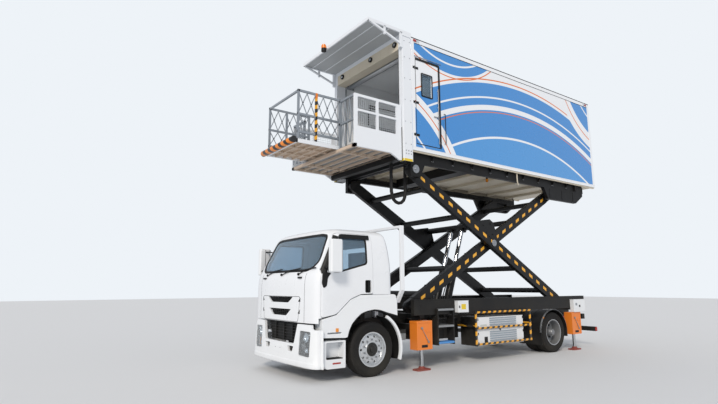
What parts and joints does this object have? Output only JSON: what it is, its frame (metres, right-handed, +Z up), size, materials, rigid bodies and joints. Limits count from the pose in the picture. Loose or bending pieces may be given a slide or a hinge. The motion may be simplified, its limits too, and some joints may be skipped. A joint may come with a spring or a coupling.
{
  "type": "aircraft catering truck",
  "caption": "Cab-over airport catering truck with its box body raised on crossed arms, a front loading platform under a canopy, and stabiliser legs down.",
  "frame": {"origin": "middle of the bounding box at ground level", "axes": "+X forward, +Y to the vehicle's left, +Z up"},
  "size_m": [9.0803, 2.86, 6.705],
  "materials": {
    "frame_black": "satin black chassis paint",
    "arm_black": "satin black chassis paint",
    "cab_white": "gloss white paint",
    "body_white": "gloss white insulated panels",
    "platform_white": "gloss white paint on light alloy",
    "glass": "tinted clear glass",
    "dark_plastic": "grained plastic",
    "seat_grey": "woven cloth",
    "engine_grey": "plain block that stands in for the power unit",
    "steel": "bare steel",
    "rod_steel": "hard chrome",
    "wheel_silver": "machined alloy",
    "tyre": "matt black",
    "rubber": "matt black",
    "orange": "gloss orange paint",
    "yellow": "gloss yellow paint",
    "pad_red": "dark red primer",
    "lamp_clear": "clear lamp lens",
    "lamp_red": "red lamp lens",
    "beige": "satin beige paint"
  },
  "bodies": {
    "chassis": {"chassis_frame": "frame_black", "lift_frame": "frame_black", "engine": "engine_grey", "front_axle": "frame_black", "rear_axle": "frame_black", "drive_shaft": "steel", "cab_shell": "cab_white", "windscreen": "glass", "cab_interior": "seat_grey", "grilles": "dark_plastic", "bumper": "body_white", "headlamps": "lamp_clear", "cab_skirts": "body_white", "mudguards": "dark_plastic", "wind_frame": "cab_white", "side_ladder": "frame_black", "control_boxes": "cab_white", "power_cabinet": "platform_white", "hazard_rail": "yellow", "fuel_tank": "platform_white", "stabiliser_housings": "orange", "rear_lamps": "lamp_red"},
    "door_left": {"door_left": "cab_white", "door_glass_left": "glass", "mirror_left": "body_white"},
    "door_right": {"door_right": "cab_white", "door_glass_right": "glass", "mirror_right": "body_white"},
    "stabiliser_front_left": {"leg_front_left": "pad_red"},
    "stabiliser_front_right": {"leg_front_right": "pad_red"},
    "stabiliser_rear_left": {"leg_rear_left": "pad_red"},
    "stabiliser_rear_right": {"leg_rear_right": "pad_red"},
    "knuckle_left": {"knuckle_left": "frame_black"},
    "knuckle_right": {"knuckle_right": "frame_black"},
    "front_wheel_left": {"tyre_front_left": "tyre", "wheel_front_left": "wheel_silver"},
    "front_wheel_right": {"tyre_front_right": "tyre", "wheel_front_right": "wheel_silver"},
    "rear_wheels_left": {"tyres_rear_left": "tyre", "wheels_rear_left": "wheel_silver"},
    "rear_wheels_right": {"tyres_rear_right": "tyre", "wheels_rear_right": "wheel_silver"},
    "arms_inner": {"arms_inner": "arm_black"},
    "arms_outer": {"arms_outer": "arm_black"},
    "cylinder_barrels": {"cylinder_barrels": "arm_black"},
    "cylinder_rods": {"cylinder_rods": "rod_steel"},
    "van": {"van_frame": "frame_black", "van_shell": "body_white", "rear_shutter": "platform_white", "rear_buffers": "rubber", "shutter_header": "beige", "portal": "platform_white", "canopy": "platform_white", "supply_hose": "rubber"},
    "side_door": {"side_door": "body_white"},
    "platform": {"platform": "platform_white"},
    "sliding_deck": {"sliding_deck": "platform_white", "deck_buffer": "orange"}
  },
  "joints": [
    {"name": "lift", "type": "hinge", "parent": "chassis", "child": "arms_inner", "pos_m": [2.02, 0, 1.15], "axis": [0, -1, 0], "range_deg": [0, 23.36]},
    {"name": "arms_cross", "type": "hinge", "parent": "arms_inner", "child": "arms_outer", "pos_m": [-0.38, 0, 2.5], "axis": [0, 1, 0], "range_deg": [0, 46.72]},
    {"name": "van_hinge", "type": "hinge", "parent": "arms_outer", "child": "van", "pos_m": [2.02, 0, 3.85], "axis": [0, -1, 0], "range_deg": [0, 23.36]},
    {"name": "cylinder_tilt", "type": "hinge", "parent": "chassis", "child": "cylinder_barrels", "pos_m": [0.37, 0, 0.88], "axis": [0, -1, 0], "range_deg": [0, 23.96]},
    {"name": "cylinder_stroke", "type": "slide", "parent": "cylinder_barrels", "child": "cylinder_rods", "axis": [0.3257, 0, -0.9455], "range_m": [0, 0.8876]},
    {"name": "platform_height", "type": "slide", "parent": "van", "child": "platform", "axis": [0, 0, 1], "range_m": [0, 1]},
    {"name": "deck_slide", "type": "slide", "parent": "platform", "child": "sliding_deck", "axis": [-1, 0, 0], "range_m": [0, 0.6]},
    {"name": "side_door_hinge", "type": "hinge", "parent": "van", "child": "side_door", "pos_m": [2.07, 1.25, 5.25], "axis": [0, 0, -1], "range_deg": [0, 90]},
    {"name": "cab_door_left", "type": "hinge", "parent": "chassis", "child": "door_left", "pos_m": [4.205, 1.185, 1.7], "axis": [0, 0, -1], "range_deg": [0, 70]},
    {"name": "cab_door_right", "type": "hinge", "parent": "chassis", "child": "door_right", "pos_m": [4.205, -1.185, 1.7], "axis": [0, 0, 1], "range_deg": [0, 70]},
    {"name": "jack_front_left", "type": "slide", "parent": "chassis", "child": "stabiliser_front_left", "axis": [0, 0, 1], "range_m": [0, 0.3]},
    {"name": "jack_front_right", "type": "slide", "parent": "chassis", "child": "stabiliser_front_right", "axis": [0, 0, 1], "range_m": [0, 0.3]},
    {"name": "jack_rear_left", "type": "slide", "parent": "chassis", "child": "stabiliser_rear_left", "axis": [0, 0, 1], "range_m": [0, 0.3]},
    {"name": "jack_rear_right", "type": "slide", "parent": "chassis", "child": "stabiliser_rear_right", "axis": [0, 0, 1], "range_m": [0, 0.3]},
    {"name": "steer_left", "type": "hinge", "parent": "chassis", "child": "knuckle_left", "pos_m": [3.12, 0.85, 0.465], "axis": [0, 0, 1], "range_deg": [-35, 35]},
    {"name": "steer_right", "type": "hinge", "parent": "chassis", "child": "knuckle_right", "pos_m": [3.12, -0.85, 0.465], "axis": [0, 0, 1], "range_deg": [-35, 35]},
    {"name": "front_spin_left", "type": "hinge", "parent": "knuckle_left", "child": "front_wheel_left", "pos_m": [3.12, 1.012, 0.465], "axis": [0, 1, 0], "continuous": true},
    {"name": "front_spin_right", "type": "hinge", "parent": "knuckle_right", "child": "front_wheel_right", "pos_m": [3.12, -1.012, 0.465], "axis": [0, 1, 0], "continuous": true},
    {"name": "rear_spin_left", "type": "hinge", "parent": "chassis", "child": "rear_wheels_left", "pos_m": [-2.29, 0.857, 0.465], "axis": [0, 1, 0], "continuous": true},
    {"name": "rear_spin_right", "type": "hinge", "parent": "chassis", "child": "rear_wheels_right", "pos_m": [-2.29, -0.857, 0.465], "axis": [0, 1, 0], "continuous": true}
  ],
  "couplings": [
    {"joint": "arms_cross", "follows": "lift", "ratio": 2},
    {"joint": "van_hinge", "follows": "lift", "ratio": 1},
    {"joint": "cylinder_tilt", "follows": "lift", "ratio": 1.0256},
    {"joint": "cylinder_stroke", "follows": "lift", "m_per_rad": 2.1772},
    {"joint": "platform_height", "follows": "lift", "m_per_rad": 2.4529},
    {"joint": "steer_right", "follows": "steer_left", "ratio": 1}
  ]
}
